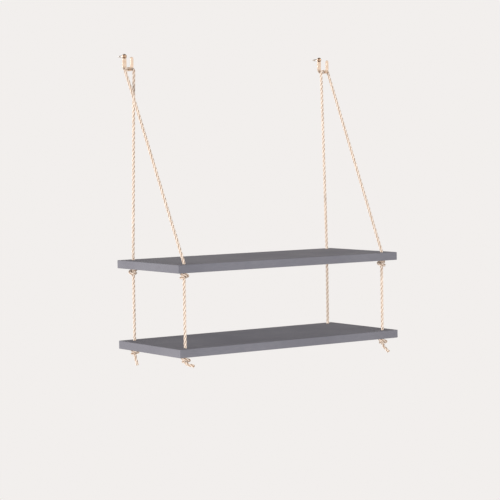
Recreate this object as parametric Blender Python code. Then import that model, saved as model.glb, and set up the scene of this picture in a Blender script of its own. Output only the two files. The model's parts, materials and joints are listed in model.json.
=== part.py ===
# Rope wall shelf: two boards hung in two knotted ropes from two J-shaped wall hooks.
# The wall is the plane y = 0 and the room lies at negative y. The origin is on the wall,
# midway between the hooks and level with their screws. Sizes are in metres.
import math

import bmesh
import bpy
import numpy as np
from mathutils import Vector

# Boards
BOARD_LENGTH = 0.600
BOARD_DEPTH = 0.250
BOARD_THICKNESS = 0.018
BOARD_EDGE_RADIUS = 0.0012
UPPER_TOP_Z = -0.452
BOARD_SPACING = 0.180
HOLE_DIAMETER = 0.009
HOLE_END_INSET = 0.028
HOLE_EDGE_INSET = 0.022

# Ropes
ROPE_DIAMETER = 0.006
HOLE_LEAD = 0.003
KNOT_LEAD = 0.022
ROPE_LAY = 0.032
ROPE_STRANDS = 3
ROPE_GROOVE = 0.76
ROPE_LONGEST_STEP = 0.0053
ROPE_SHORTEST_STEP = 0.0026
ROPE_END_SPREAD = 1.12

# Hooks, a flat strip bent to a J
HOOK_X = BOARD_LENGTH / 2 - HOLE_END_INSET
STRIP_THICKNESS = 0.002
STRIP_CHAMFER = 0.0004
PLATE_HALF_WIDTH = 0.005
PRONG_HALF_WIDTH = 0.004
PLATE_TOP_Z = 0.0055
PRONG_TOP_Z = -0.0025
CRADLE_Z = -0.0325
STAND_OFF = 0.031
CRADLE_RADIUS = 0.011

# Screws
SCREW_HEAD_DIAMETER = 0.0098
SCREW_HEAD_HEIGHT = 0.0032
SCREW_HEAD_RIM = 0.0008
SCREW_SHANK_DIAMETER = 0.0036
SCREW_LENGTH = 0.028
SCREW_TIP = 0.005
SCREW_HOLE_DIAMETER = 0.0046
RECESS_LENGTH = 0.0052
RECESS_WIDTH = 0.0011
RECESS_DEPTH = 0.0014

GAP = 0.0003
ROUND_SIDES = 24

# Where a rope rests in its hook: pulled to the front corner of the cradle by its front leg
CRADLE_PULL = math.radians(13.5)
CRADLE_SEAT = CRADLE_RADIUS - STRIP_THICKNESS / 2 - GAP - ROPE_DIAMETER / 2
ROPE_TOP_Y = -STRIP_THICKNESS / 2 - STAND_OFF + CRADLE_RADIUS - CRADLE_SEAT * math.sin(CRADLE_PULL)
ROPE_TOP_Z = CRADLE_Z + CRADLE_RADIUS - CRADLE_SEAT * math.cos(CRADLE_PULL)
ARCH_FLAT = 0.0046
ARCH_BEND = 0.006
HOLE_BEND = 0.012

REAR_HOLE_Y = -HOLE_EDGE_INSET
FRONT_HOLE_Y = -BOARD_DEPTH + HOLE_EDGE_INSET
LOWER_TOP_Z = UPPER_TOP_Z - BOARD_SPACING

# One half of an overhand knot, from the rope's axis above it to its middle, in rope diameters.
# The other half is the same, turned half round about the "across" axis.
KNOT_HALF = [
    # across, aside, along
    (0.00, 0.00, 1.80),
    (0.10, -0.10, 1.15),
    (0.10, -0.45, 0.40),
    (-0.20, -0.60, -0.10),
    (-0.60, -0.45, -0.40),
    (-0.95, 0.05, -0.60),
    (-0.90, 0.90, -0.70),
    (-0.20, 1.50, -0.65),
    (0.70, 1.35, -0.45),
    (1.15, 0.75, -0.15),
]
KNOT_MIDDLE = (1.30, 0.00, 0.00)
KNOT_REACH = 1.22 * ROPE_DIAMETER

# The tails below the lower knots, in the same terms, in place of the knot's last two points
TAILS = {
    # across, aside, along
    "left_rear": [
        (0.10, 0.10, -1.15),
        (0.10, 0.00, -1.90),
        (0.30, 0.00, -2.90),
        (0.60, 0.05, -3.90),
        (0.95, 0.05, -4.90),
    ],
    "left_front": [
        (0.18, 0.15, -1.05),
        (0.55, 0.10, -1.55),
        (1.30, 0.15, -1.80),
        (2.20, 0.20, -1.95),
        (3.10, 0.15, -2.25),
    ],
    "right_rear": [
        (0.10, 0.10, -1.15),
        (0.05, 0.05, -1.80),
        (0.10, 0.15, -2.50),
        (0.25, 0.20, -3.20),
    ],
    "right_front": [
        (0.12, 0.10, -1.10),
        (0.35, 0.05, -1.75),
        (0.90, 0.00, -2.45),
        (1.70, 0.00, -3.25),
        (2.50, 0.00, -4.05),
    ],
}

# How far each knot is turned about the rope, in degrees
KNOT_TURNS = {
    # upper, lower
    "left_rear": (130, -30),
    "left_front": (-20, -50),
    "right_rear": (-55, 120),
    "right_front": (150, -60),
}

# How far down its leg each of the route's points above the upper board lies
LEG_SHARES = (0.07, 0.14, 0.30, 0.50, 0.70, 0.88, 0.965)


def clear_scene():
    for old in list(bpy.data.objects):
        bpy.data.objects.remove(old, do_unlink=True)


def make_material(name, colour, roughness, metallic=0.0):
    material = bpy.data.materials.new(name)
    material.use_nodes = True
    shader = material.node_tree.nodes["Principled BSDF"]
    shader.inputs["Base Color"].default_value = (*colour, 1.0)
    shader.inputs["Roughness"].default_value = roughness
    shader.inputs["Metallic"].default_value = metallic
    return material


def add_object(name, bm, location, material=None, smooth_angle=None):
    mesh = bpy.data.meshes.new(name)
    bmesh.ops.recalc_face_normals(bm, faces=bm.faces)
    bm.to_mesh(mesh)
    bm.free()
    if smooth_angle is not None:
        mesh.shade_smooth()
        mesh.set_sharp_from_angle(angle=math.radians(smooth_angle))
    if material is not None:
        mesh.materials.append(material)
    obj = bpy.data.objects.new(name, mesh)
    obj.location = location
    bpy.context.scene.collection.objects.link(obj)
    return obj


def add_cut(obj, bm, location):
    cutter = add_object(obj.name + "_cutter", bm, location)
    cutter.hide_render = True
    cutter.display_type = "WIRE"
    boolean = obj.modifiers.new("cut", "BOOLEAN")
    boolean.operation = "DIFFERENCE"
    boolean.object = cutter
    return cutter


def add_box(bm, size, centre=(0.0, 0.0, 0.0)):
    corners = bmesh.ops.create_cube(bm, size=1.0)["verts"]
    bmesh.ops.scale(bm, vec=size, verts=corners)
    bmesh.ops.translate(bm, vec=centre, verts=corners)


def add_cylinder(bm, diameter, depth, centre=(0.0, 0.0, 0.0), along_y=False):
    ring = bmesh.ops.create_cone(
        bm, cap_ends=True, segments=ROUND_SIDES, radius1=diameter / 2, radius2=diameter / 2, depth=depth
    )["verts"]
    if along_y:
        for vert in ring:
            vert.co = Vector((vert.co.x, vert.co.z, -vert.co.y))
    bmesh.ops.translate(bm, vec=centre, verts=ring)


def make_board(name, top_z, material):
    bm = bmesh.new()
    add_box(bm, (BOARD_LENGTH, BOARD_DEPTH, BOARD_THICKNESS))
    bmesh.ops.bevel(
        bm, geom=bm.edges[:], offset=BOARD_EDGE_RADIUS, segments=2, profile=0.5, affect="EDGES"
    )
    centre = (0.0, -BOARD_DEPTH / 2, top_z - BOARD_THICKNESS / 2)
    board = add_object(name, bm, centre, material, smooth_angle=35)
    holes = bmesh.new()
    for x in (-HOOK_X, HOOK_X):
        for y in (REAR_HOLE_Y, FRONT_HOLE_Y):
            add_cylinder(holes, HOLE_DIAMETER, 2 * BOARD_THICKNESS, (x, y + BOARD_DEPTH / 2, 0.0))
    add_cut(board, holes, centre)
    return board


def strip_stations():
    """The hook's stations: distance from the wall, height, slope of the strip and half width."""
    stations = []
    plate_y = -STRIP_THICKNESS / 2
    plate_round = PLATE_TOP_Z - PLATE_HALF_WIDTH
    for degrees in (80, 66, 52, 38, 24, 10):
        angle = math.radians(degrees)
        z = plate_round + PLATE_HALF_WIDTH * math.sin(angle)
        stations.append((plate_y, z, -90.0, PLATE_HALF_WIDTH * math.cos(angle)))
    stations.append((plate_y, plate_round, -90.0, PLATE_HALF_WIDTH))
    bend_z = CRADLE_Z + CRADLE_RADIUS
    for side, start in ((plate_y - CRADLE_RADIUS, -90), (plate_y - STAND_OFF + CRADLE_RADIUS, -180)):
        for step in range(7):
            turn = math.radians(start - 15 * step)
            y = side - CRADLE_RADIUS * math.sin(turn)
            z = bend_z + CRADLE_RADIUS * math.cos(turn)
            stations.append((y, z, start - 15 * step, None))
    prong_y = plate_y - STAND_OFF
    prong_round = PRONG_TOP_Z - PRONG_HALF_WIDTH
    stations.append((prong_y, prong_round, -270.0, PRONG_HALF_WIDTH))
    for degrees in (16, 32, 48, 64, 80):
        angle = math.radians(degrees)
        z = prong_round + PRONG_HALF_WIDTH * math.sin(angle)
        stations.append((prong_y, z, -270.0, PRONG_HALF_WIDTH * math.cos(angle)))
    return [
        (y, z, slope, strip_half_width(y) if half is None else half) for y, z, slope, half in stations
    ]


def strip_half_width(y):
    """The strip narrows evenly from the plate to the prong."""
    share = min(max((-y - STRIP_THICKNESS / 2) / STAND_OFF, 0.0), 1.0)
    return PLATE_HALF_WIDTH + (PRONG_HALF_WIDTH - PLATE_HALF_WIDTH) * share


def strip_section(half_width):
    """A thin rectangle with its long edges chamfered, as (across, out) pairs."""
    out = STRIP_THICKNESS / 2
    across = max(half_width, 2 * STRIP_CHAMFER)
    inner = across - STRIP_CHAMFER
    shoulder = out - STRIP_CHAMFER
    return [
        (-inner, -out), (inner, -out), (across, -shoulder), (across, shoulder),
        (inner, out), (-inner, out), (-across, shoulder), (-across, -shoulder),
    ]


def make_hook(name, x, material):
    bm = bmesh.new()
    rings = []
    for y, z, slope, half_width in strip_stations():
        angle = math.radians(slope)
        out_y = math.sin(angle)
        out_z = -math.cos(angle)
        rings.append([
            bm.verts.new((across, y + out * out_y, z + out * out_z))
            for across, out in strip_section(half_width)
        ])
    count = len(rings[0])
    for ring, following in zip(rings, rings[1:]):
        for i in range(count):
            bm.faces.new((ring[i], ring[(i + 1) % count], following[(i + 1) % count], following[i]))
    bm.faces.new(rings[0])
    bm.faces.new(rings[-1])
    hook = add_object(name, bm, (x, 0.0, 0.0), material, smooth_angle=35)
    hole = bmesh.new()
    add_cylinder(hole, SCREW_HOLE_DIAMETER, 6 * STRIP_THICKNESS, along_y=True)
    add_cut(hook, hole, (x, -STRIP_THICKNESS / 2, 0.0))
    return hook


def screw_profile():
    """Half of the screw's outline as (radius, distance from the wall), head first."""
    under_head = -STRIP_THICKNESS - GAP
    head_radius = SCREW_HEAD_DIAMETER / 2
    points = []
    for degrees in (90, 72, 54, 36, 18, 0):
        angle = math.radians(degrees)
        rise = SCREW_HEAD_RIM + (SCREW_HEAD_HEIGHT - SCREW_HEAD_RIM) * math.sin(angle)
        points.append((head_radius * math.cos(angle), under_head - rise))
    points.append((head_radius, under_head))
    points.append((SCREW_SHANK_DIAMETER / 2, under_head))
    points.append((SCREW_SHANK_DIAMETER / 2, SCREW_LENGTH + under_head - SCREW_TIP))
    points.append((0.0, SCREW_LENGTH + under_head))
    return points


def make_screw(name, x, material):
    bm = bmesh.new()
    profile = [bm.verts.new((radius, y, 0.0)) for radius, y in screw_profile()]
    edges = [bm.edges.new(pair) for pair in zip(profile, profile[1:])]
    bmesh.ops.spin(
        bm, geom=profile + edges, cent=(0, 0, 0), axis=(0, 1, 0), angle=2 * math.pi,
        steps=ROUND_SIDES, use_merge=True,
    )
    bmesh.ops.remove_doubles(bm, verts=bm.verts[:], dist=1e-6)
    screw = add_object(name, bm, (x, 0.0, 0.0), material, smooth_angle=35)
    head_face = -STRIP_THICKNESS - GAP - SCREW_HEAD_HEIGHT
    for size in (
        (RECESS_LENGTH, 2 * RECESS_DEPTH, RECESS_WIDTH),
        (RECESS_WIDTH, 2 * RECESS_DEPTH, RECESS_LENGTH),
    ):
        slot = bmesh.new()
        add_box(slot, size)
        add_cut(screw, slot, (x, head_face, 0.0))
    return screw


def knot_points(centre, turn, tail=None):
    """An overhand knot's route from above it to below it, or to the end of its tail."""
    half = [Vector(row) for row in KNOT_HALF]
    other = [Vector((p.x, -p.y, -p.z)) for p in reversed(half)]
    if tail is not None:
        other = other[:-2] + [Vector(row) for row in tail]
    angle = math.radians(turn)
    route = []
    for point in half + [Vector(KNOT_MIDDLE)] + other:
        across = point.x * math.cos(angle) - point.y * math.sin(angle)
        aside = point.x * math.sin(angle) + point.y * math.cos(angle)
        route.append(centre + Vector((across, aside, point.z)) * ROPE_DIAMETER)
    return route


def leg_points(side, hole_y, start, leg):
    """One leg's route from the hook down to its cut end."""
    x = side * HOOK_X
    lean = math.atan2(start.y - hole_y, start.z - UPPER_TOP_Z)
    bend_y = HOLE_BEND * (1 - math.cos(lean))
    bend_z = HOLE_BEND * abs(math.sin(lean)) + GAP
    above_hole = Vector((x, hole_y + bend_y, UPPER_TOP_Z + bend_z))
    route = [start.lerp(above_hole, share) for share in LEG_SHARES]
    route.append(above_hole)
    upper_turn, lower_turn = KNOT_TURNS[leg]
    for top_z, turn, tail in ((UPPER_TOP_Z, upper_turn, None), (LOWER_TOP_Z, lower_turn, TAILS[leg])):
        under = top_z - BOARD_THICKNESS
        knot_z = under - GAP - KNOT_REACH
        route.append(Vector((x, hole_y, top_z - HOLE_LEAD)))
        route.append(Vector((x, hole_y, under + HOLE_LEAD)))
        route.extend(knot_points(Vector((x, hole_y, knot_z)), turn, tail))
        if tail is None:
            for z in (knot_z - KNOT_LEAD, (knot_z + LOWER_TOP_Z) / 2, LOWER_TOP_Z + KNOT_LEAD):
                route.append(Vector((x, hole_y, z)))
    return route


def arch_points(side):
    """Over the hook's strip, from the rear leg on its inner side to the front leg on its outer side."""
    route = []
    for direction in (-1, 1):
        quarter = []
        for degrees in (0, 24, 48, 72, 90):
            angle = math.radians(degrees)
            across = ARCH_FLAT + ARCH_BEND * math.cos(angle)
            drop = ARCH_BEND * (1 - math.sin(angle))
            x = side * (HOOK_X + direction * across)
            quarter.append(Vector((x, ROPE_TOP_Y, ROPE_TOP_Z - drop)))
        route.extend(quarter if direction < 0 else reversed(quarter))
    return route


def rope_route(side):
    """A rope's route from its rear tail, over the hook, to its front tail."""
    arch = arch_points(side)
    word = "left" if side < 0 else "right"
    rear = leg_points(side, REAR_HOLE_Y, arch[0], word + "_rear")
    front = leg_points(side, FRONT_HOLE_Y, arch[-1], word + "_front")
    return list(reversed(rear)) + arch + front


def smooth_curve(route, per_span=12):
    """A centripetal Catmull-Rom curve through the route's points."""
    points = [np.array(p) for p in route]
    points.insert(0, 2 * points[0] - points[1])
    points.append(2 * points[-1] - points[-2])
    curve = []
    for p0, p1, p2, p3 in zip(points, points[1:], points[2:], points[3:]):
        t1 = math.sqrt(np.linalg.norm(p1 - p0))
        t2 = t1 + math.sqrt(np.linalg.norm(p2 - p1))
        t3 = t2 + math.sqrt(np.linalg.norm(p3 - p2))
        for t in np.linspace(t1, t2, per_span, endpoint=False):
            a1 = ((t1 - t) * p0 + t * p1) / t1
            a2 = ((t2 - t) * p1 + (t - t1) * p2) / (t2 - t1)
            a3 = ((t3 - t) * p2 + (t - t2) * p3) / (t3 - t2)
            b1 = ((t2 - t) * a1 + t * a2) / t2
            b2 = ((t3 - t) * a2 + (t - t1) * a3) / (t3 - t1)
            curve.append(((t2 - t) * b1 + (t - t1) * b2) / (t2 - t1))
    curve.append(points[-2])
    return np.array(curve)


def even_steps(curve):
    """Points along the curve, closer together where it bends, with their distances along it."""
    lengths = np.linalg.norm(np.diff(curve, axis=0), axis=1)
    along = np.concatenate([[0.0], np.cumsum(lengths)])
    directions = np.diff(curve, axis=0) / lengths[:, None]
    turns = np.arccos(np.clip(np.sum(directions[1:] * directions[:-1], axis=1), -1, 1))
    bends = np.concatenate([[0.0], turns / ((lengths[1:] + lengths[:-1]) / 2), [0.0]])
    reach = ROPE_DIAMETER / 2
    eased = [np.max(bends[np.abs(along - s) < reach]) for s in along]
    stations = [0.0]
    while stations[-1] < along[-1] - ROPE_SHORTEST_STEP / 2:
        bend = np.interp(stations[-1], along, eased)
        step = ROPE_LONGEST_STEP / (1 + 1.3 * ROPE_DIAMETER * bend)
        stations.append(stations[-1] + max(step, ROPE_SHORTEST_STEP))
    stations = np.array(stations) * along[-1] / stations[-1]
    return np.stack([np.interp(stations, along, curve[:, k]) for k in range(3)], axis=1), stations


def rope_frames(points):
    """Two directions across the rope at each point, carried along it without spinning."""
    tangents = np.gradient(points, axis=0)
    tangents /= np.linalg.norm(tangents, axis=1)[:, None]
    across = np.array([1.0, 0.0, 0.0])
    frames = []
    for tangent in tangents:
        across = across - tangent * np.dot(across, tangent)
        across /= np.linalg.norm(across)
        frames.append((across, np.cross(tangent, across)))
    return frames


def make_rope(name, side, material):
    points, along = even_steps(smooth_curve(rope_route(side)))
    frames = rope_frames(points)
    sides = 2 * ROPE_STRANDS
    bm = bmesh.new()
    rings = []
    for k, (point, distance, (across, aside)) in enumerate(zip(points, along, frames)):
        spread = ROPE_END_SPREAD if k in (0, len(points) - 1) else 1.0
        ring = []
        for i in range(sides):
            angle = 2 * math.pi * (distance / ROPE_LAY + i / sides)
            radius = ROPE_DIAMETER / 2 * spread * (1.0 if i % 2 == 0 else ROPE_GROOVE)
            ring.append(bm.verts.new(point + radius * (math.cos(angle) * across + math.sin(angle) * aside)))
        rings.append(ring)
    for ring, following in zip(rings, rings[1:]):
        for i in range(sides):
            j = (i + 1) % sides
            bm.faces.new((ring[i], ring[j], following[i]))
            bm.faces.new((ring[j], following[j], following[i]))
    for ring, point in ((rings[0], points[0]), (rings[-1], points[-1])):
        middle = bm.verts.new(point)
        for i in range(sides):
            bm.faces.new((ring[i], ring[(i + 1) % sides], middle))
    return add_object(name, bm, (0.0, 0.0, 0.0), material, smooth_angle=60)


clear_scene()
slate_paint = make_material("slate_paint", (0.235, 0.232, 0.255), 0.55)
rope_fibre = make_material("rope_fibre", (0.745, 0.560, 0.385), 0.85)
hook_brass = make_material("hook_brass", (0.860, 0.640, 0.420), 0.25, metallic=1.0)
screw_brass = make_material("screw_brass", (0.700, 0.480, 0.300), 0.30, metallic=1.0)

make_board("shelf_upper", UPPER_TOP_Z, slate_paint)
make_board("shelf_lower", LOWER_TOP_Z, slate_paint)
for word, side in (("left", -1), ("right", 1)):
    make_rope("rope_" + word, side, rope_fibre)
    make_hook("hook_" + word, side * HOOK_X, hook_brass)
    make_screw("screw_" + word, side * HOOK_X, screw_brass)
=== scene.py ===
import json
import math
import random

import bmesh
import bpy
import numpy as np
from mathutils import Matrix, Vector

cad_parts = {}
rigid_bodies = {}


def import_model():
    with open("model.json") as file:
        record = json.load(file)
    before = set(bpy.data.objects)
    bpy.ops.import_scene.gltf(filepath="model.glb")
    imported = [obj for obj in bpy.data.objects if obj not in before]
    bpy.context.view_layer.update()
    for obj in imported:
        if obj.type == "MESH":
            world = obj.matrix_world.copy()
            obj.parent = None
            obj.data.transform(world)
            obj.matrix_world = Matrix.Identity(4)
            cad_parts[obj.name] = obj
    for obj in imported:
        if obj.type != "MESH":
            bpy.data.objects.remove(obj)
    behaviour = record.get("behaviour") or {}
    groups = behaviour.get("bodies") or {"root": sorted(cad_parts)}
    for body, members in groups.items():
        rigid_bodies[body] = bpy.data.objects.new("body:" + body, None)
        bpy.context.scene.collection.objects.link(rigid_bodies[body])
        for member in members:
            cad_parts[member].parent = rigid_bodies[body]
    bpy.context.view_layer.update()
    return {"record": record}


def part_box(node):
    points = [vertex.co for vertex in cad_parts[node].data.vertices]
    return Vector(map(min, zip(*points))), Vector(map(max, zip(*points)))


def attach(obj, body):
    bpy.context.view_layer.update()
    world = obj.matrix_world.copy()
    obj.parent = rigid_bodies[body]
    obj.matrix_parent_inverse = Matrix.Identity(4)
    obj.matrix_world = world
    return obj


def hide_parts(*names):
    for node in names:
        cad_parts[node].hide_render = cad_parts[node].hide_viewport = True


# Rope wall shelf: two painted boards, two laid ropes with knots, two brass hooks with their screws.
# The wall is y = 0, the room is at negative y, and all sizes are metres.
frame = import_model()
mounts = {mount["name"]: Vector(mount["pos_m"]) for mount in frame["record"]["mounts"]}
upperTopZ = mounts["upper_board_top"].z
lowerTopZ = mounts["lower_board_top"].z
hookX = mounts["hook_right_back"].x
boardLow, boardHigh = (Vector(corner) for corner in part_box("shelf_upper"))
boardThickness = boardHigh.z - boardLow.z
print("frame loaded")


# Camera

cameraSetup = {
    "place": (-2.3640, -3.4377, -0.2007),
    "yaw": 35.212,          # degrees to the right of straight at the wall
    "pitch": -3.338,
    "roll": -0.881,
    "focalPixels": 1800,
    "picturePixels": 500,
    "sensor": 36.0,         # millimetres
}


def addCamera():
    yaw, pitch, roll = (math.radians(cameraSetup[key]) for key in ("yaw", "pitch", "roll"))
    forward = Vector((math.sin(yaw) * math.cos(pitch), math.cos(yaw) * math.cos(pitch), math.sin(pitch)))
    right = Vector((math.cos(yaw), -math.sin(yaw), 0.0))
    up = right.cross(forward)
    rolledRight = right * math.cos(roll) + up * math.sin(roll)
    rolledUp = up * math.cos(roll) - right * math.sin(roll)
    data = bpy.data.cameras.new("shelfCamera")
    data.sensor_width = cameraSetup["sensor"]
    data.lens = cameraSetup["focalPixels"] * cameraSetup["sensor"] / cameraSetup["picturePixels"]
    data.clip_end = 60.0
    camera = bpy.data.objects.new("shelfCamera", data)
    axes = Matrix((rolledRight, rolledUp, -forward)).transposed()
    camera.matrix_world = Matrix.Translation(cameraSetup["place"]) @ axes.to_4x4()
    bpy.context.scene.collection.objects.link(camera)
    bpy.context.scene.camera = camera


addCamera()
print("camera set")


# Helpers for materials

def addNode(tree, kind, inputs=None, **settings):
    made = tree.nodes.new("ShaderNode" + kind)
    for key, value in settings.items():
        setattr(made, key, value)
    for socket, value in (inputs or {}).items():
        if isinstance(value, bpy.types.NodeSocket):
            tree.links.new(value, made.inputs[socket])
        else:
            made.inputs[socket].default_value = value
    return made


def startMaterial(name, **values):
    material = bpy.data.materials.new(name)
    material.use_nodes = True
    tree = material.node_tree
    shader = tree.nodes["Principled BSDF"]
    for socket, value in values.items():
        shader.inputs[socket].default_value = value
    return material, tree, shader


def objectPoint(tree, scale=(1.0, 1.0, 1.0)):
    coordinates = addNode(tree, "TexCoord")
    return addNode(tree, "Mapping", {"Vector": coordinates.outputs["Object"], "Scale": scale}).outputs[0]


def noiseOf(tree, vector, scale, detail=3.0, roughness=0.55, distortion=0.0):
    made = addNode(tree, "TexNoise", {
        "Vector": vector, "Scale": scale, "Detail": detail,
        "Roughness": roughness, "Distortion": distortion,
    })
    return made.outputs["Fac"]


def rampOf(tree, factor, *stops):
    made = addNode(tree, "ValToRGB", {"Fac": factor})
    elements = made.color_ramp.elements
    while len(elements) < len(stops):
        elements.new(0.5)
    for element, (position, colour) in zip(elements, stops):
        element.position = position
        element.color = (*colour, 1.0)
    return made.outputs["Color"]


def spanOf(tree, value, fromLow, fromHigh, toLow=0.0, toHigh=1.0):
    made = addNode(tree, "MapRange", {
        "Value": value, "From Min": fromLow, "From Max": fromHigh, "To Min": toLow, "To Max": toHigh,
    }, interpolation_type="SMOOTHSTEP")
    return made.outputs["Result"]


def mathOf(tree, operation, first, second=0.0):
    return addNode(tree, "Math", {0: first, 1: second}, operation=operation).outputs[0]


def mixColour(tree, factor, first, second, blend="MIX"):
    made = addNode(tree, "Mix", {0: factor}, data_type="RGBA", blend_type=blend)
    for socket, value in ((made.inputs[6], first), (made.inputs[7], second)):
        if isinstance(value, bpy.types.NodeSocket):
            tree.links.new(value, socket)
        else:
            socket.default_value = (*value, 1.0)
    return made.outputs[2]


def addBump(tree, shader, layers):
    # Each layer is a height and how deep it goes, in metres; the last one lies on top
    normal = None
    for height, depth in layers:
        inputs = {"Height": height, "Distance": depth, "Strength": 1.0}
        if normal is not None:
            inputs["Normal"] = normal
        normal = addNode(tree, "Bump", inputs).outputs["Normal"]
    tree.links.new(normal, shader.inputs["Normal"])


# Helpers for pieces

def linkObject(name, data):
    made = bpy.data.objects.new(name, data)
    bpy.context.scene.collection.objects.link(made)
    return made


def meshFromBmesh(name, bm):
    mesh = bpy.data.meshes.new(name)
    bmesh.ops.recalc_face_normals(bm, faces=bm.faces[:])
    bm.to_mesh(mesh)
    bm.free()
    return mesh


def evaluatedMesh(holder):
    # The mesh that an object shows with its modifiers or its curve's bevel, in place of the object
    evaluated = holder.evaluated_get(bpy.context.evaluated_depsgraph_get())
    mesh = bpy.data.meshes.new_from_object(evaluated)
    bpy.data.objects.remove(holder, do_unlink=True)
    return mesh


def cutAway(mesh, cutterMesh):
    holder, cutter = linkObject("blank", mesh), linkObject("cutter", cutterMesh)
    boolean = holder.modifiers.new("cut", "BOOLEAN")
    boolean.object = cutter
    cut = evaluatedMesh(holder)
    bpy.data.objects.remove(cutter, do_unlink=True)
    return cut


def finishPiece(name, mesh, material, node, evenNormals=True):
    mesh.materials.clear()
    mesh.materials.append(material)
    mesh.shade_smooth()
    piece = linkObject(name, mesh)
    if evenNormals:
        piece.modifiers.new("evenNormals", "WEIGHTED_NORMAL")
    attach(piece, "root")
    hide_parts(node)
    return piece


# Rope: its route, in the same terms as the solid that it stands for

ropeSetup = {
    "diameter": 0.006,
    "lay": 0.032,             # one turn of a strand
    "strands": 3,
    "strandRadius": 0.00166,
    "strandOffset": 0.00173,  # from the rope's axis to a strand's
    "yarns": 8,               # in a strand
    "yarnDepth": 0.00022,
    "step": 0.0017,
    "bentStep": 0.0011,
    "unevenness": 0.035,
    "endSpread": 1.22,
    "endLength": 0.006,
}

ropePath = {
    "boardDepth": boardHigh.y - boardLow.y,
    "holeInset": 0.022,
    "holeLead": 0.003,
    "knotLead": 0.022,
    "gap": 0.0003,
    "hookTop": (-0.02256, -0.02801),   # y and z of the rope's axis over the hook
    "archFlat": 0.0046,
    "archBend": 0.006,
    "holeBend": 0.012,
    "knotReach": 1.22,                 # in diameters, as are the knots and tails
    "legShares": (0.07, 0.14, 0.30, 0.50, 0.70, 0.88, 0.965),
    "curveSteps": 24,
}

# Half of an overhand knot: across, aside and along the rope
knotHalf = (
    (0.00, 0.00, 1.80),
    (0.10, -0.10, 1.15),
    (0.10, -0.45, 0.40),
    (-0.20, -0.60, -0.10),
    (-0.60, -0.45, -0.40),
    (-0.95, 0.05, -0.60),
    (-0.90, 0.90, -0.70),
    (-0.20, 1.50, -0.65),
    (0.70, 1.35, -0.45),
    (1.15, 0.75, -0.15),
)
knotMiddle = (1.30, 0.00, 0.00)

# The tail of each lower knot, in place of its last two points
tails = {
    "left_rear": (
        (0.10, 0.10, -1.15),
        (0.10, 0.00, -1.90),
        (0.30, 0.00, -2.90),
        (0.60, 0.05, -3.90),
        (0.95, 0.05, -4.90),
    ),
    "left_front": (
        (0.18, 0.15, -1.05),
        (0.55, 0.10, -1.55),
        (1.30, 0.15, -1.80),
        (2.20, 0.20, -1.95),
        (3.10, 0.15, -2.25),
    ),
    "right_rear": (
        (0.10, 0.10, -1.15),
        (0.05, 0.05, -1.80),
        (0.10, 0.15, -2.50),
        (0.25, 0.20, -3.20),
    ),
    "right_front": (
        (0.12, 0.10, -1.10),
        (0.35, 0.05, -1.75),
        (0.90, 0.00, -2.45),
        (1.70, 0.00, -3.25),
        (2.50, 0.00, -4.05),
    ),
}

# Each knot's turn about the rope in degrees, upper and lower
knotTurns = {
    "left_rear": (130, -30),
    "left_front": (-20, -50),
    "right_rear": (-55, 120),
    "right_front": (150, -60),
}


def knotPoints(centre, turn, tail=None):
    half = [Vector(row) for row in knotHalf]
    other = [Vector((point.x, -point.y, -point.z)) for point in reversed(half)]
    if tail is not None:
        other = other[:-2] + [Vector(row) for row in tail]
    turned = Matrix.Rotation(math.radians(turn), 3, "Z")
    return [
        centre + turned @ point * ropeSetup["diameter"] for point in half + [Vector(knotMiddle)] + other
    ]


def legPoints(side, holeY, start, leg):
    x = side * hookX
    lean = math.atan2(start.y - holeY, start.z - upperTopZ)
    bendY = ropePath["holeBend"] * (1 - math.cos(lean))
    bendZ = ropePath["holeBend"] * abs(math.sin(lean)) + ropePath["gap"]
    aboveHole = Vector((x, holeY + bendY, upperTopZ + bendZ))
    route = [start.lerp(aboveHole, share) for share in ropePath["legShares"]]
    route.append(aboveHole)
    upperTurn, lowerTurn = knotTurns[leg]
    for topZ, turn, tail in ((upperTopZ, upperTurn, None), (lowerTopZ, lowerTurn, tails[leg])):
        under = topZ - boardThickness
        knotZ = under - ropePath["gap"] - ropePath["knotReach"] * ropeSetup["diameter"]
        route.append(Vector((x, holeY, topZ - ropePath["holeLead"])))
        route.append(Vector((x, holeY, under + ropePath["holeLead"])))
        route.extend(knotPoints(Vector((x, holeY, knotZ)), turn, tail))
        if tail is None:
            lead = ropePath["knotLead"]
            for z in (knotZ - lead, (knotZ + lowerTopZ) / 2, lowerTopZ + lead):
                route.append(Vector((x, holeY, z)))
    return route


def archPoints(side):
    topY, topZ = ropePath["hookTop"]
    route = []
    for direction in (-1, 1):
        quarter = []
        for degrees in (0, 24, 48, 72, 90):
            angle = math.radians(degrees)
            across = ropePath["archFlat"] + ropePath["archBend"] * math.cos(angle)
            drop = ropePath["archBend"] * (1 - math.sin(angle))
            quarter.append(Vector((side * (hookX + direction * across), topY, topZ - drop)))
        route.extend(quarter if direction < 0 else reversed(quarter))
    return route


def ropeRoute(side, word):
    arch = archPoints(side)
    inset = ropePath["holeInset"]
    rear = legPoints(side, -inset, arch[0], word + "_rear")
    front = legPoints(side, inset - ropePath["boardDepth"], arch[-1], word + "_front")
    return list(reversed(rear)) + arch + front


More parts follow.
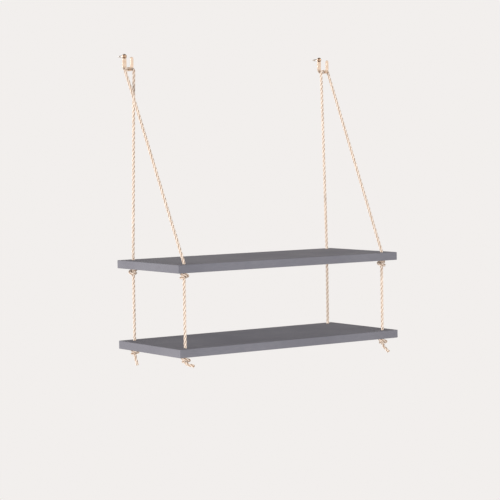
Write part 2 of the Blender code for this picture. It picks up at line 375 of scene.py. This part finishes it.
def smoothCurve(route):
    # Centripetal Catmull-Rom through the route's points
    points = [np.array(point) for point in route]
    points.insert(0, 2 * points[0] - points[1])
    points.append(2 * points[-1] - points[-2])
    curve = []
    for p0, p1, p2, p3 in zip(points, points[1:], points[2:], points[3:]):
        t1 = math.sqrt(np.linalg.norm(p1 - p0))
        t2 = t1 + math.sqrt(np.linalg.norm(p2 - p1))
        t3 = t2 + math.sqrt(np.linalg.norm(p3 - p2))
        for t in np.linspace(t1, t2, ropePath["curveSteps"], endpoint=False):
            a1 = ((t1 - t) * p0 + t * p1) / t1
            a2 = ((t2 - t) * p1 + (t - t1) * p2) / (t2 - t1)
            a3 = ((t3 - t) * p2 + (t - t2) * p3) / (t3 - t2)
            b1 = ((t2 - t) * a1 + t * a2) / t2
            b2 = ((t3 - t) * a2 + (t - t1) * a3) / (t3 - t1)
            curve.append(((t2 - t) * b1 + (t - t1) * b2) / (t2 - t1))
    curve.append(points[-2])
    return np.array(curve)


def evenSteps(curve):
    # Points along the curve, closer where it bends, with their distances along it
    lengths = np.linalg.norm(np.diff(curve, axis=0), axis=1)
    along = np.concatenate([[0.0], np.cumsum(lengths)])
    directions = np.diff(curve, axis=0) / lengths[:, None]
    turns = np.arccos(np.clip(np.sum(directions[1:] * directions[:-1], axis=1), -1, 1))
    bends = np.concatenate([[0.0], turns / ((lengths[1:] + lengths[:-1]) / 2), [0.0]])
    reach = ropeSetup["diameter"] / 2
    eased = np.array([np.max(bends[np.abs(along - distance) < reach]) for distance in along])
    stations = [0.0]
    while stations[-1] < along[-1] - ropeSetup["bentStep"] / 2:
        bend = np.interp(stations[-1], along, eased)
        step = ropeSetup["step"] / (1 + ropeSetup["diameter"] * bend)
        stations.append(stations[-1] + max(step, ropeSetup["bentStep"]))
    stations = np.array(stations) * along[-1] / stations[-1]
    return np.stack([np.interp(stations, along, curve[:, k]) for k in range(3)], axis=1), stations


def ropeFrames(points):
    # Two directions across the rope at each point, carried along it without spinning
    tangents = np.gradient(points, axis=0)
    tangents /= np.linalg.norm(tangents, axis=1)[:, None]
    across = np.array([1.0, 0.0, 0.0])
    acrosses = []
    for tangent in tangents:
        across = across - tangent * np.dot(across, tangent)
        across /= np.linalg.norm(across)
        acrosses.append(across)
    acrosses = np.array(acrosses)
    return acrosses, np.cross(tangents, acrosses), tangents


# Rope: strands, fibres and material

def yarnProfile():
    # A strand's section: eight yarns side by side, three points to a yarn
    yarns, radius = ropeSetup["yarns"], ropeSetup["strandRadius"]
    profile = bpy.data.curves.new("yarnProfile", "CURVE")
    profile.dimensions = "2D"
    spline = profile.splines.new("POLY")
    count = 3 * yarns
    spline.points.add(count - 1)
    for k in range(count):
        angle = 2 * math.pi * k / count
        inward = ropeSetup["yarnDepth"] if k % 3 == 0 else 0.0
        reach = radius - inward
        spline.points[k].co = (reach * math.cos(angle), reach * math.sin(angle), 0.0, 1.0)
    spline.use_cyclic_u = True
    return linkObject("yarnProfile", profile)


def strandLines(points, along, acrosses, asides, draw):
    lines = []
    total = along[-1]
    toEnd = np.minimum(along, total - along)
    spread = 1 + (ropeSetup["endSpread"] - 1) * np.clip(1 - toEnd / ropeSetup["endLength"], 0, 1) ** 2
    for k in range(ropeSetup["strands"]):
        angle = 2 * np.pi * (along / ropeSetup["lay"] + k / ropeSetup["strands"])
        offset = ropeSetup["strandOffset"] * spread
        centre = points + offset[:, None] * (
            np.cos(angle)[:, None] * acrosses + np.sin(angle)[:, None] * asides
        )
        knots = np.arange(0.0, total + 0.02, 0.02)
        swell = np.interp(along, knots, [draw.gauss(0, 1) for _ in knots])
        radius = 1 + ropeSetup["unevenness"] * np.clip(swell, -1.5, 1.5)
        lines.append((centre, radius))
    return lines


def strandMesh(name, centre, radius, profile):
    curve = bpy.data.curves.new(name, "CURVE")
    curve.dimensions = "3D"
    curve.bevel_mode = "OBJECT"
    curve.bevel_object = profile
    curve.use_fill_caps = True
    curve.twist_mode = "MINIMUM"
    spline = curve.splines.new("POLY")
    spline.points.add(len(centre) - 1)
    spline.points.foreach_set("co", np.column_stack([centre, np.ones(len(centre))]).ravel())
    spline.points.foreach_set("radius", radius)
    return evaluatedMesh(linkObject(name, curve))


def fibreTubes(name, starts, directions, lengths, thickness, draw):
    # Loose fibres, each a thin curve that bends a little on its way
    curve = bpy.data.curves.new(name, "CURVE")
    curve.dimensions = "3D"
    curve.bevel_depth = thickness
    curve.bevel_resolution = 0
    curve.use_fill_caps = True
    for start, direction, length in zip(starts, directions, lengths):
        spline = curve.splines.new("POLY")
        spline.points.add(3)
        bend = np.array([draw.uniform(-1, 1) for _ in range(3)])
        for k, point in enumerate(spline.points):
            share = k / 3
            place = start + direction * length * share + bend * length * 0.28 * share ** 2
            point.co = (*place, 1.0)
            point.radius = 1.0 - 0.7 * share
    return linkObject(name, curve)


def ropeMaterial():
    material, tree, shader = startMaterial(
        "ropeFibre", **{"Roughness": 0.85, "Sheen Weight": 0.15, "Sheen Roughness": 0.45,
                        "Sheen Tint": (1.0, 0.88, 0.74, 1.0), "Specular IOR Level": 0.2},
    )
    lay = addNode(tree, "Attribute", attribute_name="fibreLay").outputs["Vector"]
    groove = addNode(tree, "Attribute", attribute_name="groove").outputs["Fac"]
    long = addNode(tree, "Mapping", {"Vector": lay, "Scale": (130.0, 5200.0, 5200.0)}).outputs[0]
    wide = addNode(tree, "Mapping", {"Vector": lay, "Scale": (26.0, 950.0, 950.0)}).outputs[0]
    fibres = noiseOf(tree, long, 1.0, 4.0, 0.62)
    yarnTone = noiseOf(tree, wide, 1.0, 2.0, 0.5)
    stain = noiseOf(tree, objectPoint(tree), 9.0, 2.0)
    # Yarns round the strand, as a ridge across each of them
    split = addNode(tree, "SeparateXYZ", {0: lay})
    angle = mathOf(tree, "ARCTAN2", split.outputs["Z"], split.outputs["Y"])
    half = mathOf(tree, "MULTIPLY", angle, ropeSetup["yarns"] / 2)
    ridge = mathOf(tree, "POWER", mathOf(tree, "ABSOLUTE", mathOf(tree, "SINE", half)), 0.5)
    # Painted shade: the colour darkens from the pale strand crowns to dark brown deep in the grooves between
    # the strands
    depth = rampOf(
        tree, groove,
        (0.50, (0.19, 0.121, 0.088)),
        (0.84, (0.35, 0.253, 0.187)),
        (0.93, (0.485, 0.387, 0.314)),
        (0.985, (0.60, 0.514, 0.444)),
    )
    # Painted shade: thin darker lines in the creases where neighbouring yarns meet
    yarnGapShaded = mixColour(tree, spanOf(tree, ridge, 0.25, 0.75, 0.20, 0.0), depth, (0.32, 0.21, 0.14))
    toned = mixColour(tree, spanOf(tree, yarnTone, 0.3, 0.7, 0.0, 0.20), yarnGapShaded, (0.52, 0.38, 0.27))
    streaked = mixColour(tree, spanOf(tree, fibres, 0.42, 0.66, 0.0, 0.28), toned, (0.80, 0.68, 0.56))
    dulled = mixColour(tree, spanOf(tree, fibres, 0.46, 0.30, 0.0, 0.30), streaked, (0.34, 0.23, 0.155))
    shaded = mixColour(tree, spanOf(tree, stain, 0.4, 0.75, 0.0, 0.14), dulled, (0.50, 0.36, 0.25))
    tree.links.new(shaded, shader.inputs["Base Color"])
    tree.links.new(spanOf(tree, fibres, 0.3, 0.7, 0.95, 0.74), shader.inputs["Roughness"])
    addBump(tree, shader, [(ridge, 0.00045), (yarnTone, 0.0005), (fibres, 0.0004)])
    return material


def fuzzMaterial():
    material, tree, shader = startMaterial(
        "ropeFuzz", **{"Roughness": 0.8, "Sheen Weight": 0.3, "Sheen Roughness": 0.4,
                       "Specular IOR Level": 0.3},
    )
    tone = noiseOf(tree, objectPoint(tree), 260.0, 2.0)
    tree.links.new(
        rampOf(tree, tone, (0.35, (0.48, 0.35, 0.25)), (0.65, (0.72, 0.59, 0.47))),
        shader.inputs["Base Color"],
    )
    return material


fuzzSetup = {
    "count": 1500,
    "shortest": 0.0018,
    "longest": 0.0048,
    "thickness": 0.00004,
    "lean": 0.6,       # how far a fibre stands off the rope, 0 flat and 1 upright
    "tuftCount": 70,    # at each cut end
    "tuftLength": 0.0024,
    "tuftThickness": 0.00009,
}


def fibreStarts(points, acrosses, asides, tangents, draw):
    starts, directions, lengths = [], [], []
    for _ in range(fuzzSetup["count"]):
        k = draw.randrange(4, len(points) - 4)
        angle = draw.uniform(0, 2 * math.pi)
        out = math.cos(angle) * acrosses[k] + math.sin(angle) * asides[k]
        along = tangents[k] * draw.choice((-1, 1))
        starts.append(points[k] + out * ropeSetup["diameter"] * 0.42)
        direction = out * fuzzSetup["lean"] * draw.uniform(0.5, 1.0) + along
        directions.append(direction / np.linalg.norm(direction))
        lengths.append(draw.uniform(fuzzSetup["shortest"], fuzzSetup["longest"]))
    return starts, directions, lengths


def tuftStarts(lines, draw):
    # Cut yarns that fan out a little at both ends of each strand
    starts, directions, lengths = [], [], []
    each = fuzzSetup["tuftCount"] // ropeSetup["strands"]
    for centre, _ in lines:
        for end, inner in ((centre[0], centre[3]), (centre[-1], centre[-4])):
            outward = (end - inner) / np.linalg.norm(end - inner)
            for _ in range(each):
                reach = ropeSetup["strandRadius"] * 0.85 * math.sqrt(draw.random())
                wild = np.array([draw.gauss(0, 1) for _ in range(3)])
                wild -= outward * np.dot(wild, outward)
                wild /= np.linalg.norm(wild)
                starts.append(end + wild * reach - outward * 0.0012)
                direction = outward + wild * reach / ropeSetup["strandRadius"] * 0.45
                directions.append(direction / np.linalg.norm(direction))
                lengths.append(fuzzSetup["tuftLength"] * draw.uniform(0.55, 1.0))
    return starts, directions, lengths


def layAttributes(mesh, points, along, centre, strand):
    # fibreLay unrolls a strand for its streaks; groove is 0 deep between the strands and 1 on their crowns
    count = len(mesh.vertices)
    places = np.zeros(count * 3)
    mesh.vertices.foreach_get("co", places)
    places = places.reshape(-1, 3)
    sides, rings = 3 * ropeSetup["yarns"], len(points)
    offset, radius = ropeSetup["strandOffset"], ropeSetup["strandRadius"]
    lay = np.zeros((count, 3))
    groove = np.full(count, 0.8)
    # The rings lie in order, with one or both of the caps before them
    starts = [k * sides for k in range((count - rings * sides) // sides + 1)]
    first = min(starts, key=lambda k: np.linalg.norm(places[k:k + sides].mean(axis=0) - centre[0]))
    block = slice(first, first + rings * sides)
    angle = np.tile(2 * np.pi * np.arange(sides) / sides, rings)
    lay[block, 0] = np.repeat(along, sides) + 3.7 * strand
    lay[block, 1] = radius * np.cos(angle)
    lay[block, 2] = radius * np.sin(angle)
    away = np.linalg.norm(places[block] - np.repeat(points, sides, axis=0), axis=1)
    low = offset / 2 + math.sqrt(radius ** 2 - 0.75 * offset ** 2)
    groove[block] = np.clip((away - low) / (offset + radius - low), 0, 1)
    layer = mesh.attributes.new("fibreLay", "FLOAT_VECTOR", "POINT")
    layer.data.foreach_set("vector", lay.ravel())
    layer = mesh.attributes.new("groove", "FLOAT", "POINT")
    layer.data.foreach_set("value", groove)


def makeRope(side, word, profile, fibre, fuzz):
    draw = random.Random(11 + side)
    points, along = evenSteps(smoothCurve(ropeRoute(side, word)))
    acrosses, asides, tangents = ropeFrames(points)
    lines = strandLines(points, along, acrosses, asides, draw)
    bm = bmesh.new()
    for k, (centre, radius) in enumerate(lines):
        strand = strandMesh("strand", centre, radius, profile)
        layAttributes(strand, points, along, centre, k)
        bm.from_mesh(strand)
    bmesh.ops.remove_doubles(bm, verts=bm.verts[:], dist=1e-6)
    mesh = meshFromBmesh("rope_" + word, bm)
    rope = finishPiece("rope_" + word + "_strands", mesh, fibre, "rope_" + word, False)

    loose = fibreStarts(points, acrosses, asides, tangents, draw)
    tufts = tuftStarts(lines, draw)
    meshes = [
        evaluatedMesh(fibreTubes("loose", *loose, fuzzSetup["thickness"], draw)),
        evaluatedMesh(fibreTubes("tufts", *tufts, fuzzSetup["tuftThickness"], draw)),
    ]
    bm = bmesh.new()
    for part in meshes:
        bm.from_mesh(part)
    bmesh.ops.remove_doubles(bm, verts=bm.verts[:], dist=1e-7)
    fuzzMesh = meshFromBmesh("fuzz", bm)
    fuzzMesh.materials.append(fuzz)
    fuzzMesh.shade_smooth()
    fibres = linkObject("rope_" + word + "_fibres", fuzzMesh)
    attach(fibres, "root")


yarnSection = yarnProfile()
ropeFibre, ropeFuzz = ropeMaterial(), fuzzMaterial()
makeRope(-1, "left", yarnSection, ropeFibre, ropeFuzz)
makeRope(1, "right", yarnSection, ropeFibre, ropeFuzz)
bpy.data.objects.remove(yarnSection, do_unlink=True)
print("ropes laid")


# Boards

boardSetup = {
    "edgeRound": 0.0012,
    "holeDiameter": 0.009,
    "holeRound": 0.0006,
    "holeSides": 48,
}


def holePlaces():
    inset = ropePath["holeInset"]
    return [(x, y) for x in (-hookX, hookX) for y in (-inset, inset - ropePath["boardDepth"])]


def makeBoard(name, node, material):
    low, high = (Vector(corner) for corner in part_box(node))
    bm = bmesh.new()
    bmesh.ops.create_cube(bm, size=1.0)
    bmesh.ops.scale(bm, vec=high - low, verts=bm.verts[:])
    bmesh.ops.translate(bm, vec=(low + high) / 2, verts=bm.verts[:])
    bmesh.ops.bevel(
        bm, geom=bm.edges[:], offset=boardSetup["edgeRound"], segments=4, profile=0.5,
        affect="EDGES", material=-1,
    )
    blank = meshFromBmesh(name, bm)
    drill = bmesh.new()
    radius = boardSetup["holeDiameter"] / 2
    for x, y in holePlaces():
        place = Matrix.Translation((x, y, (low.z + high.z) / 2))
        bmesh.ops.create_cone(
            drill, cap_ends=True, segments=boardSetup["holeSides"], radius1=radius, radius2=radius,
            depth=2 * (high.z - low.z), matrix=place,
        )
    drilled = cutAway(blank, meshFromBmesh("drill", drill))
    bm = bmesh.new()
    bm.from_mesh(drilled)
    rims = [
        edge for edge in bm.edges
        if len(edge.link_faces) == 2
        and abs(abs(edge.link_faces[0].normal.z) - abs(edge.link_faces[1].normal.z)) > 0.9
        and min((edge.verts[0].co.xy - Vector(hole)).length for hole in holePlaces()) < radius * 1.1
    ]
    bmesh.ops.bevel(
        bm, geom=rims, offset=boardSetup["holeRound"], segments=3, profile=0.5, affect="EDGES", material=-1,
    )
    return finishPiece(name, meshFromBmesh(name, bm), material, node)


def paintMaterial():
    material, tree, shader = startMaterial(
        "slatePaint", **{"Roughness": 0.85, "Specular IOR Level": 0.15},
    )
    place = objectPoint(tree)
    along = objectPoint(tree, (3.0, 26.0, 26.0))
    cloud = noiseOf(tree, place, 7.0, 3.0, 0.5)
    stipple = noiseOf(tree, place, 900.0, 2.0, 0.5)
    roller = noiseOf(tree, along, 18.0, 3.0, 0.55)
    dust = noiseOf(tree, place, 2600.0, 1.0, 0.4)
    base = mixColour(tree, spanOf(tree, cloud, 0.35, 0.68), (0.216, 0.211, 0.237), (0.257, 0.252, 0.279))
    rolled = mixColour(tree, spanOf(tree, roller, 0.35, 0.7, 0.0, 0.6), base, (0.208, 0.206, 0.233))
    specked = mixColour(tree, spanOf(tree, dust, 0.66, 0.74, 0.0, 0.35), rolled, (0.36, 0.355, 0.37))
    tree.links.new(specked, shader.inputs["Base Color"])
    tree.links.new(spanOf(tree, roller, 0.3, 0.75, 0.78, 0.92), shader.inputs["Roughness"])
    addBump(tree, shader, [(cloud, 0.0004), (roller, 0.00012), (stipple, 0.00005)])
    return material


slatePaint = paintMaterial()
makeBoard("board_upper", "shelf_upper", slatePaint)
makeBoard("board_lower", "shelf_lower", slatePaint)
print("boards drilled and painted")


# Hooks

hookSetup = {
    "thickness": 0.002,
    "plateHalfWidth": 0.005,
    "prongHalfWidth": 0.004,
    "plateTopZ": 0.0055,
    "prongTopZ": -0.0025,
    "cradleZ": -0.0325,
    "standOff": 0.031,
    "bendRadius": 0.011,
    "edgeRound": 0.00055,
    "bendSteps": 18,
    "screwHole": 0.0046,
}


def hookLengths():
    bendZ = hookSetup["cradleZ"] + hookSetup["bendRadius"]
    quarter = hookSetup["bendRadius"] * math.pi / 2
    return (
        hookSetup["plateTopZ"] - bendZ, quarter,
        hookSetup["standOff"] - 2 * hookSetup["bendRadius"], quarter, hookSetup["prongTopZ"] - bendZ,
    )


def hookPoint(distance):
    # Where the strip's middle line lies at a distance from the plate's top, and which way its outer side looks
    radius = hookSetup["bendRadius"]
    bendZ = hookSetup["cradleZ"] + radius
    plateY = -hookSetup["thickness"] / 2
    plate, quarter, flat, _, prong = hookLengths()
    if distance <= plate:
        return Vector((0, plateY, hookSetup["plateTopZ"] - distance)), Vector((0, 1, 0))
    distance -= plate
    for centreY, turned in ((plateY - radius, 0), (plateY - hookSetup["standOff"] + radius, 1)):
        if distance <= quarter:
            angle = distance / radius + turned * math.pi / 2
            out = Vector((0, math.cos(angle), -math.sin(angle)))
            return Vector((0, centreY, bendZ)) + out * radius, out
        distance -= quarter
        if turned == 0:
            if distance <= flat:
                return Vector((0, centreY - distance, bendZ - radius)), Vector((0, 0, -1))
            distance -= flat
    return Vector((0, plateY - hookSetup["standOff"], bendZ + distance)), Vector((0, -1, 0))


def hookStations():
    # Distances along the strip with its half width there: round top, plate, bends, prong, round tip
    plate, quarter, flat, _, prong = hookLengths()
    total = plate + 2 * quarter + flat + prong
    wide, narrow = hookSetup["plateHalfWidth"], hookSetup["prongHalfWidth"]
    stations = []
    for degrees in range(84, 0, -6):
        angle = math.radians(degrees)
        stations.append((wide * (1 - math.sin(angle)), wide * math.cos(angle)))
    inner = [wide + k * (plate - wide) / 4 for k in range(5)]
    inner += [plate + k * quarter / hookSetup["bendSteps"] for k in range(1, hookSetup["bendSteps"] + 1)]
    inner += [plate + quarter + flat / 2, plate + quarter + flat]
    start = plate + quarter + flat
    inner += [start + k * quarter / hookSetup["bendSteps"] for k in range(1, hookSetup["bendSteps"] + 1)]
    start += quarter
    inner += [start + k * (prong - narrow) / 3 for k in range(1, 4)]
    for distance in inner:
        share = min(max(-(hookPoint(distance)[0].y + hookSetup["thickness"] / 2) / hookSetup["standOff"], 0), 1)
        stations.append((distance, wide + (narrow - wide) * share))
    for degrees in range(6, 90, 6):
        angle = math.radians(degrees)
        stations.append((total - narrow * (1 - math.sin(angle)), narrow * math.cos(angle)))
    return stations


def makeHook(name, node, x, material):
    stations = hookStations()
    bm = bmesh.new()
    first, half = stations[0]
    ends = [bm.verts.new((-half, first, 0)), bm.verts.new((half, first, 0))]
    edge = bm.edges.new(ends)
    for distance, half in stations[1:]:
        grown = bmesh.ops.extrude_edge_only(bm, edges=[edge])["geom"]
        edge = next(part for part in grown if isinstance(part, bmesh.types.BMEdge))
        for vert in edge.verts:
            vert.co = (math.copysign(half, vert.co.x), distance, 0)
    raised = bmesh.ops.extrude_face_region(bm, geom=bm.faces[:])["geom"]
    thick = hookSetup["thickness"]
    bmesh.ops.translate(bm, vec=(0, 0, thick), verts=[v for v in raised if isinstance(v, bmesh.types.BMVert)])
    bmesh.ops.translate(bm, vec=(0, 0, -thick / 2), verts=bm.verts[:])
    bmesh.ops.recalc_face_normals(bm, faces=bm.faces[:])
    corners = [edge for edge in bm.edges if edge.calc_face_angle(0.0) > math.radians(60)]
    rims = [edge for edge in corners if abs(edge.verts[0].co.z - edge.verts[1].co.z) < thick / 2]
    bmesh.ops.bevel(
        bm, geom=rims, offset=hookSetup["edgeRound"], segments=3, profile=0.5, affect="EDGES", material=-1,
    )
    for vert in bm.verts:   # the flat blank is bent to its J
        middle, out = hookPoint(vert.co.y)
        vert.co = Vector((vert.co.x, 0, 0)) + middle + out * vert.co.z
    bmesh.ops.translate(bm, vec=(x, 0, 0), verts=bm.verts[:])
    bent = meshFromBmesh(name, bm)
    drill = bmesh.new()
    radius = hookSetup["screwHole"] / 2
    bmesh.ops.create_cone(
        drill, cap_ends=True, segments=40, radius1=radius, radius2=radius, depth=6 * thick,
        matrix=Matrix.Translation((x, 0, 0)) @ Matrix.Rotation(math.pi / 2, 4, "X"),
    )
    return finishPiece(name, cutAway(bent, meshFromBmesh("drill", drill)), material, node)


def brassMaterial(name, light, dark, roughness, scratchScale):
    material, tree, shader = startMaterial(
        name, **{"Metallic": 1.0, "Roughness": roughness, "Specular IOR Level": 0.5},
    )
    place = objectPoint(tree)
    rubbed = objectPoint(tree, scratchScale)
    patina = noiseOf(tree, place, 130.0, 4.0, 0.6)
    scratches = noiseOf(tree, rubbed, 1.0, 3.0, 0.65)
    pits = noiseOf(tree, place, 2600.0, 2.0, 0.5)
    tree.links.new(
        mixColour(tree, spanOf(tree, patina, 0.38, 0.68), light, dark), shader.inputs["Base Color"]
    )
    worn = mathOf(tree, "ADD", spanOf(tree, scratches, 0.3, 0.7, -0.05, 0.07), roughness)
    clouded = mathOf(tree, "ADD", worn, spanOf(tree, patina, 0.45, 0.75, 0.0, 0.10))
    tree.links.new(clouded, shader.inputs["Roughness"])
    addBump(tree, shader, [(scratches, 0.000012), (pits, 0.000006)])
    return material


hookBrass = brassMaterial(
    "hookBrass", (0.87, 0.70, 0.56), (0.78, 0.58, 0.43), 0.28, (5200.0, 700.0, 220.0)
)
makeHook("hook_left_strip", "hook_left", -hookX, hookBrass)
makeHook("hook_right_strip", "hook_right", hookX, hookBrass)
print("hooks bent")


# Screws

screwSetup = {
    "headDiameter": 0.0098,
    "headHeight": 0.0032,
    "headRim": 0.0008,
    "rimRound": 0.00025,
    "underHead": -0.0023,     # y of the head's flat side
    "shankDiameter": 0.0032,
    "length": 0.028,
    "tip": 0.006,
    "recess": (0.0052, 0.0014, 0.0011),
    "sides": 64,
    "threadStart": 0.0015,
    "threadPitch": 0.0016,
    "threadHeight": 0.00045,
    "threadSteps": 20,
}


def screwProfile():
    radius = screwSetup["headDiameter"] / 2
    under = screwSetup["underHead"]
    rim, height, small = screwSetup["headRim"], screwSetup["headHeight"], screwSetup["rimRound"]
    points = []
    for k in range(15):
        angle = math.pi / 2 * (1 - k / 14)
        rise = rim + (height - rim) * math.sin(angle)
        points.append((radius * math.cos(angle), under - rise))
    points += [(radius, under - small), (radius - small, under)]
    shank = screwSetup["shankDiameter"] / 2
    end = under + screwSetup["length"]
    points += [(shank, under), (shank, end - screwSetup["tip"]), (0.0, end)]
    return points


def makeScrew(name, node, x, material):
    bm = bmesh.new()
    profile = [bm.verts.new((radius, y, 0)) for radius, y in screwProfile()]
    edges = [bm.edges.new(pair) for pair in zip(profile, profile[1:])]
    bmesh.ops.spin(
        bm, geom=profile + edges, cent=(0, 0, 0), axis=(0, 1, 0), angle=2 * math.pi,
        steps=screwSetup["sides"], use_merge=True,
    )
    bmesh.ops.remove_doubles(bm, verts=bm.verts[:], dist=1e-6)
    turned = meshFromBmesh(name, bm)
    length, depth, width = screwSetup["recess"]
    headFace = screwSetup["underHead"] - screwSetup["headHeight"]
    for size in ((length, 2 * depth, width), (width, 2 * depth, length)):
        punch = bmesh.new()
        bmesh.ops.create_cube(punch, size=1.0)
        bmesh.ops.scale(punch, vec=size, verts=punch.verts[:])
        bmesh.ops.translate(punch, vec=(0, headFace, 0), verts=punch.verts[:])
        turned = cutAway(turned, meshFromBmesh("punch", punch))
    bm = bmesh.new()
    bm.from_mesh(turned)
    addThread(bm)
    bmesh.ops.translate(bm, vec=(x, 0, 0), verts=bm.verts[:])
    return finishPiece(name, meshFromBmesh(name, bm), material, node)


def addThread(bm):
    # A ridge wound round the shank, which runs out on the point
    shank = screwSetup["shankDiameter"] / 2
    end = screwSetup["underHead"] + screwSetup["length"]
    pitch, height = screwSetup["threadPitch"], screwSetup["threadHeight"]
    start = screwSetup["threadStart"]
    turns = (end - 0.0015 - start) / pitch
    ridge = [
        bm.verts.new((radius, start + y, 0))
        for radius, y in ((shank * 0.8, -pitch * 0.30), (shank + height, 0), (shank * 0.8, pitch * 0.30))
    ]
    face = bm.faces.new(ridge)
    steps = int(turns * screwSetup["threadSteps"])
    before = set(bm.verts)
    bmesh.ops.spin(
        bm, geom=[face], cent=(0, 0, 0), axis=(0, 1, 0), dvec=(0, pitch / screwSetup["threadSteps"], 0),
        angle=2 * math.pi * turns, steps=steps,
    )
    for vert in set(bm.verts) - before | set(ridge):
        left = min(max((end - vert.co.y) / screwSetup["tip"], 0.12), 1.0)
        begun = min(max((vert.co.y - start + pitch) / (2 * pitch), 0.55), 1.0)
        vert.co.x *= left * begun
        vert.co.z *= left * begun


def shadeScrewRimAndPlate(material):
    # Painted shade: the head is darkened round its rim, where its dome turns away from the light; the shank
    # keeps its pale plating
    tree = material.node_tree
    shader = tree.nodes["Principled BSDF"]
    worn = shader.inputs["Base Color"].links[0].from_socket
    split = addNode(tree, "SeparateXYZ", {0: objectPoint(tree)})
    aside = mathOf(tree, "SUBTRACT", mathOf(tree, "ABSOLUTE", split.outputs["X"]), hookX)
    squares = mathOf(
        tree, "ADD", mathOf(tree, "MULTIPLY", aside, aside),
        mathOf(tree, "MULTIPLY", split.outputs["Z"], split.outputs["Z"]),
    )
    reach = mathOf(tree, "SQRT", squares)
    # Painted shade: a dark ring round the head's rim, by distance from the screw's axis
    rimShaded = mixColour(tree, spanOf(tree, reach, 0.0018, 0.0042, 0.0, 0.88), worn, (0.20, 0.11, 0.065))
    plated = mixColour(tree, spanOf(tree, split.outputs["Y"], -0.0015, 0.0005), rimShaded, (0.93, 0.87, 0.80))
    tree.links.new(plated, shader.inputs["Base Color"])


screwBrass = brassMaterial(
    "screwBrass", (0.86, 0.62, 0.43), (0.70, 0.47, 0.31), 0.26, (900.0, 900.0, 2600.0)
)
shadeScrewRimAndPlate(screwBrass)
makeScrew("screw_left_turned", "screw_left", -hookX, screwBrass)
makeScrew("screw_right_turned", "screw_right", hookX, screwBrass)
print("screws turned")


# Floor, sky and lights

studio = {
    "floorZ": -4.0,
    "floorRadius": 14.0,
    "floorGlow": 0.25,
    "pale": (0.888, 0.862, 0.846),
    "zenith": (0.12, 0.10, 0.09),
    "aim": (0.0, -0.12, -0.34),
    "lights": (
        # name, place, size, watts, colour
        ("keyRight", (1.7, -2.7, -0.7), 1.4, 3.0, (1.0, 0.97, 0.93)),
        ("fillFront", (-1.3, -3.4, -0.1), 1.8, 12.0, (0.42, 0.68, 1.0)),
        ("lowLeft", (-3.0, -1.7, -0.60), 0.8, 8.0, (1.0, 0.98, 0.96)),
    ),
    "suns": (
        # name, the way it travels, strength
        ("sunLeft", (0.985, 0.132, -0.27), 1.25),
        ("sunLow", (0.967, 0.234, -0.05), 0.45),
    ),
    "ropeGlows": (       # lift the ropes alone, in the boards' shade too
        ("ropeGlowLeft", (0.743, 0.668, 0.0), 3.0),
        ("ropeGlowRight", (-0.80, 0.60, 0.0), 0.9),
        ("ropeGlowBack", (0.1, -0.99, 0.0), 0.9),
    ),
    "sunAngle": 0.5,
}


def addStage():
    bm = bmesh.new()
    bmesh.ops.create_circle(bm, cap_ends=True, segments=96, radius=studio["floorRadius"])
    bmesh.ops.translate(bm, vec=(0, 0, studio["floorZ"]), verts=bm.verts[:])
    mesh = bpy.data.meshes.new("paleFloor")
    bm.to_mesh(mesh)
    bm.free()
    material, tree, shader = startMaterial("paleFloor", **{"Roughness": 0.9, "Specular IOR Level": 0.1})
    coordinates = addNode(tree, "TexCoord").outputs["Object"]
    away = addNode(tree, "VectorMath", {0: coordinates}, operation="LENGTH").outputs["Value"]
    shader.inputs["Base Color"].default_value = (*studio["pale"], 1.0)
    shader.inputs["Emission Color"].default_value = (*studio["pale"], 1.0)
    shader.inputs["Emission Strength"].default_value = studio["floorGlow"]
    clear = addNode(tree, "BsdfTransparent").outputs[0]
    fade = spanOf(tree, away, 6.0, studio["floorRadius"] * 0.98)
    blended = addNode(tree, "MixShader", {0: fade, 1: shader.outputs[0], 2: clear}).outputs[0]
    tree.links.new(blended, tree.nodes["Material Output"].inputs["Surface"])
    mesh.materials.append(material)
    floor = linkObject("paleFloor", mesh)


def addWorld():
    world = bpy.data.worlds.new("studio")
    world.use_nodes = True
    bpy.context.scene.world = world
    tree = world.node_tree
    direction = addNode(tree, "TexCoord").outputs["Generated"]
    height = addNode(tree, "SeparateXYZ", {0: direction}).outputs["Z"]
    glow = rampOf(tree, height, (0.48, studio["pale"]), (0.92, studio["zenith"]))
    background = tree.nodes["Background"]
    tree.links.new(glow, background.inputs["Color"])


def addLights():
    aim = Vector(studio["aim"])
    ropePieces = bpy.data.collections.new("ropePieces")
    for piece in bpy.context.scene.collection.objects:
        if piece.name.startswith("rope_"):
            ropePieces.objects.link(piece)
    for name, place, size, watts, colour in studio["lights"]:
        data = bpy.data.lights.new(name, "AREA")
        data.shape = "DISK"
        data.size = size
        data.energy = watts
        data.color = colour
        light = linkObject(name, data)
        light.location = place
        light.rotation_euler = (aim - Vector(place)).to_track_quat("-Z", "Y").to_euler()
    for name, way, strength in studio["suns"] + studio["ropeGlows"]:
        data = bpy.data.lights.new(name, "SUN")
        data.energy = strength
        data.angle = math.radians(studio["sunAngle"])
        sun = linkObject(name, data)
        sun.rotation_euler = Vector(way).to_track_quat("-Z", "Y").to_euler()
        if name.startswith("ropeGlow"):
            sun.light_linking.receiver_collection = ropePieces


addStage()
addWorld()
addLights()
bpy.context.scene.view_settings.view_transform = "Standard"
print("studio lit")
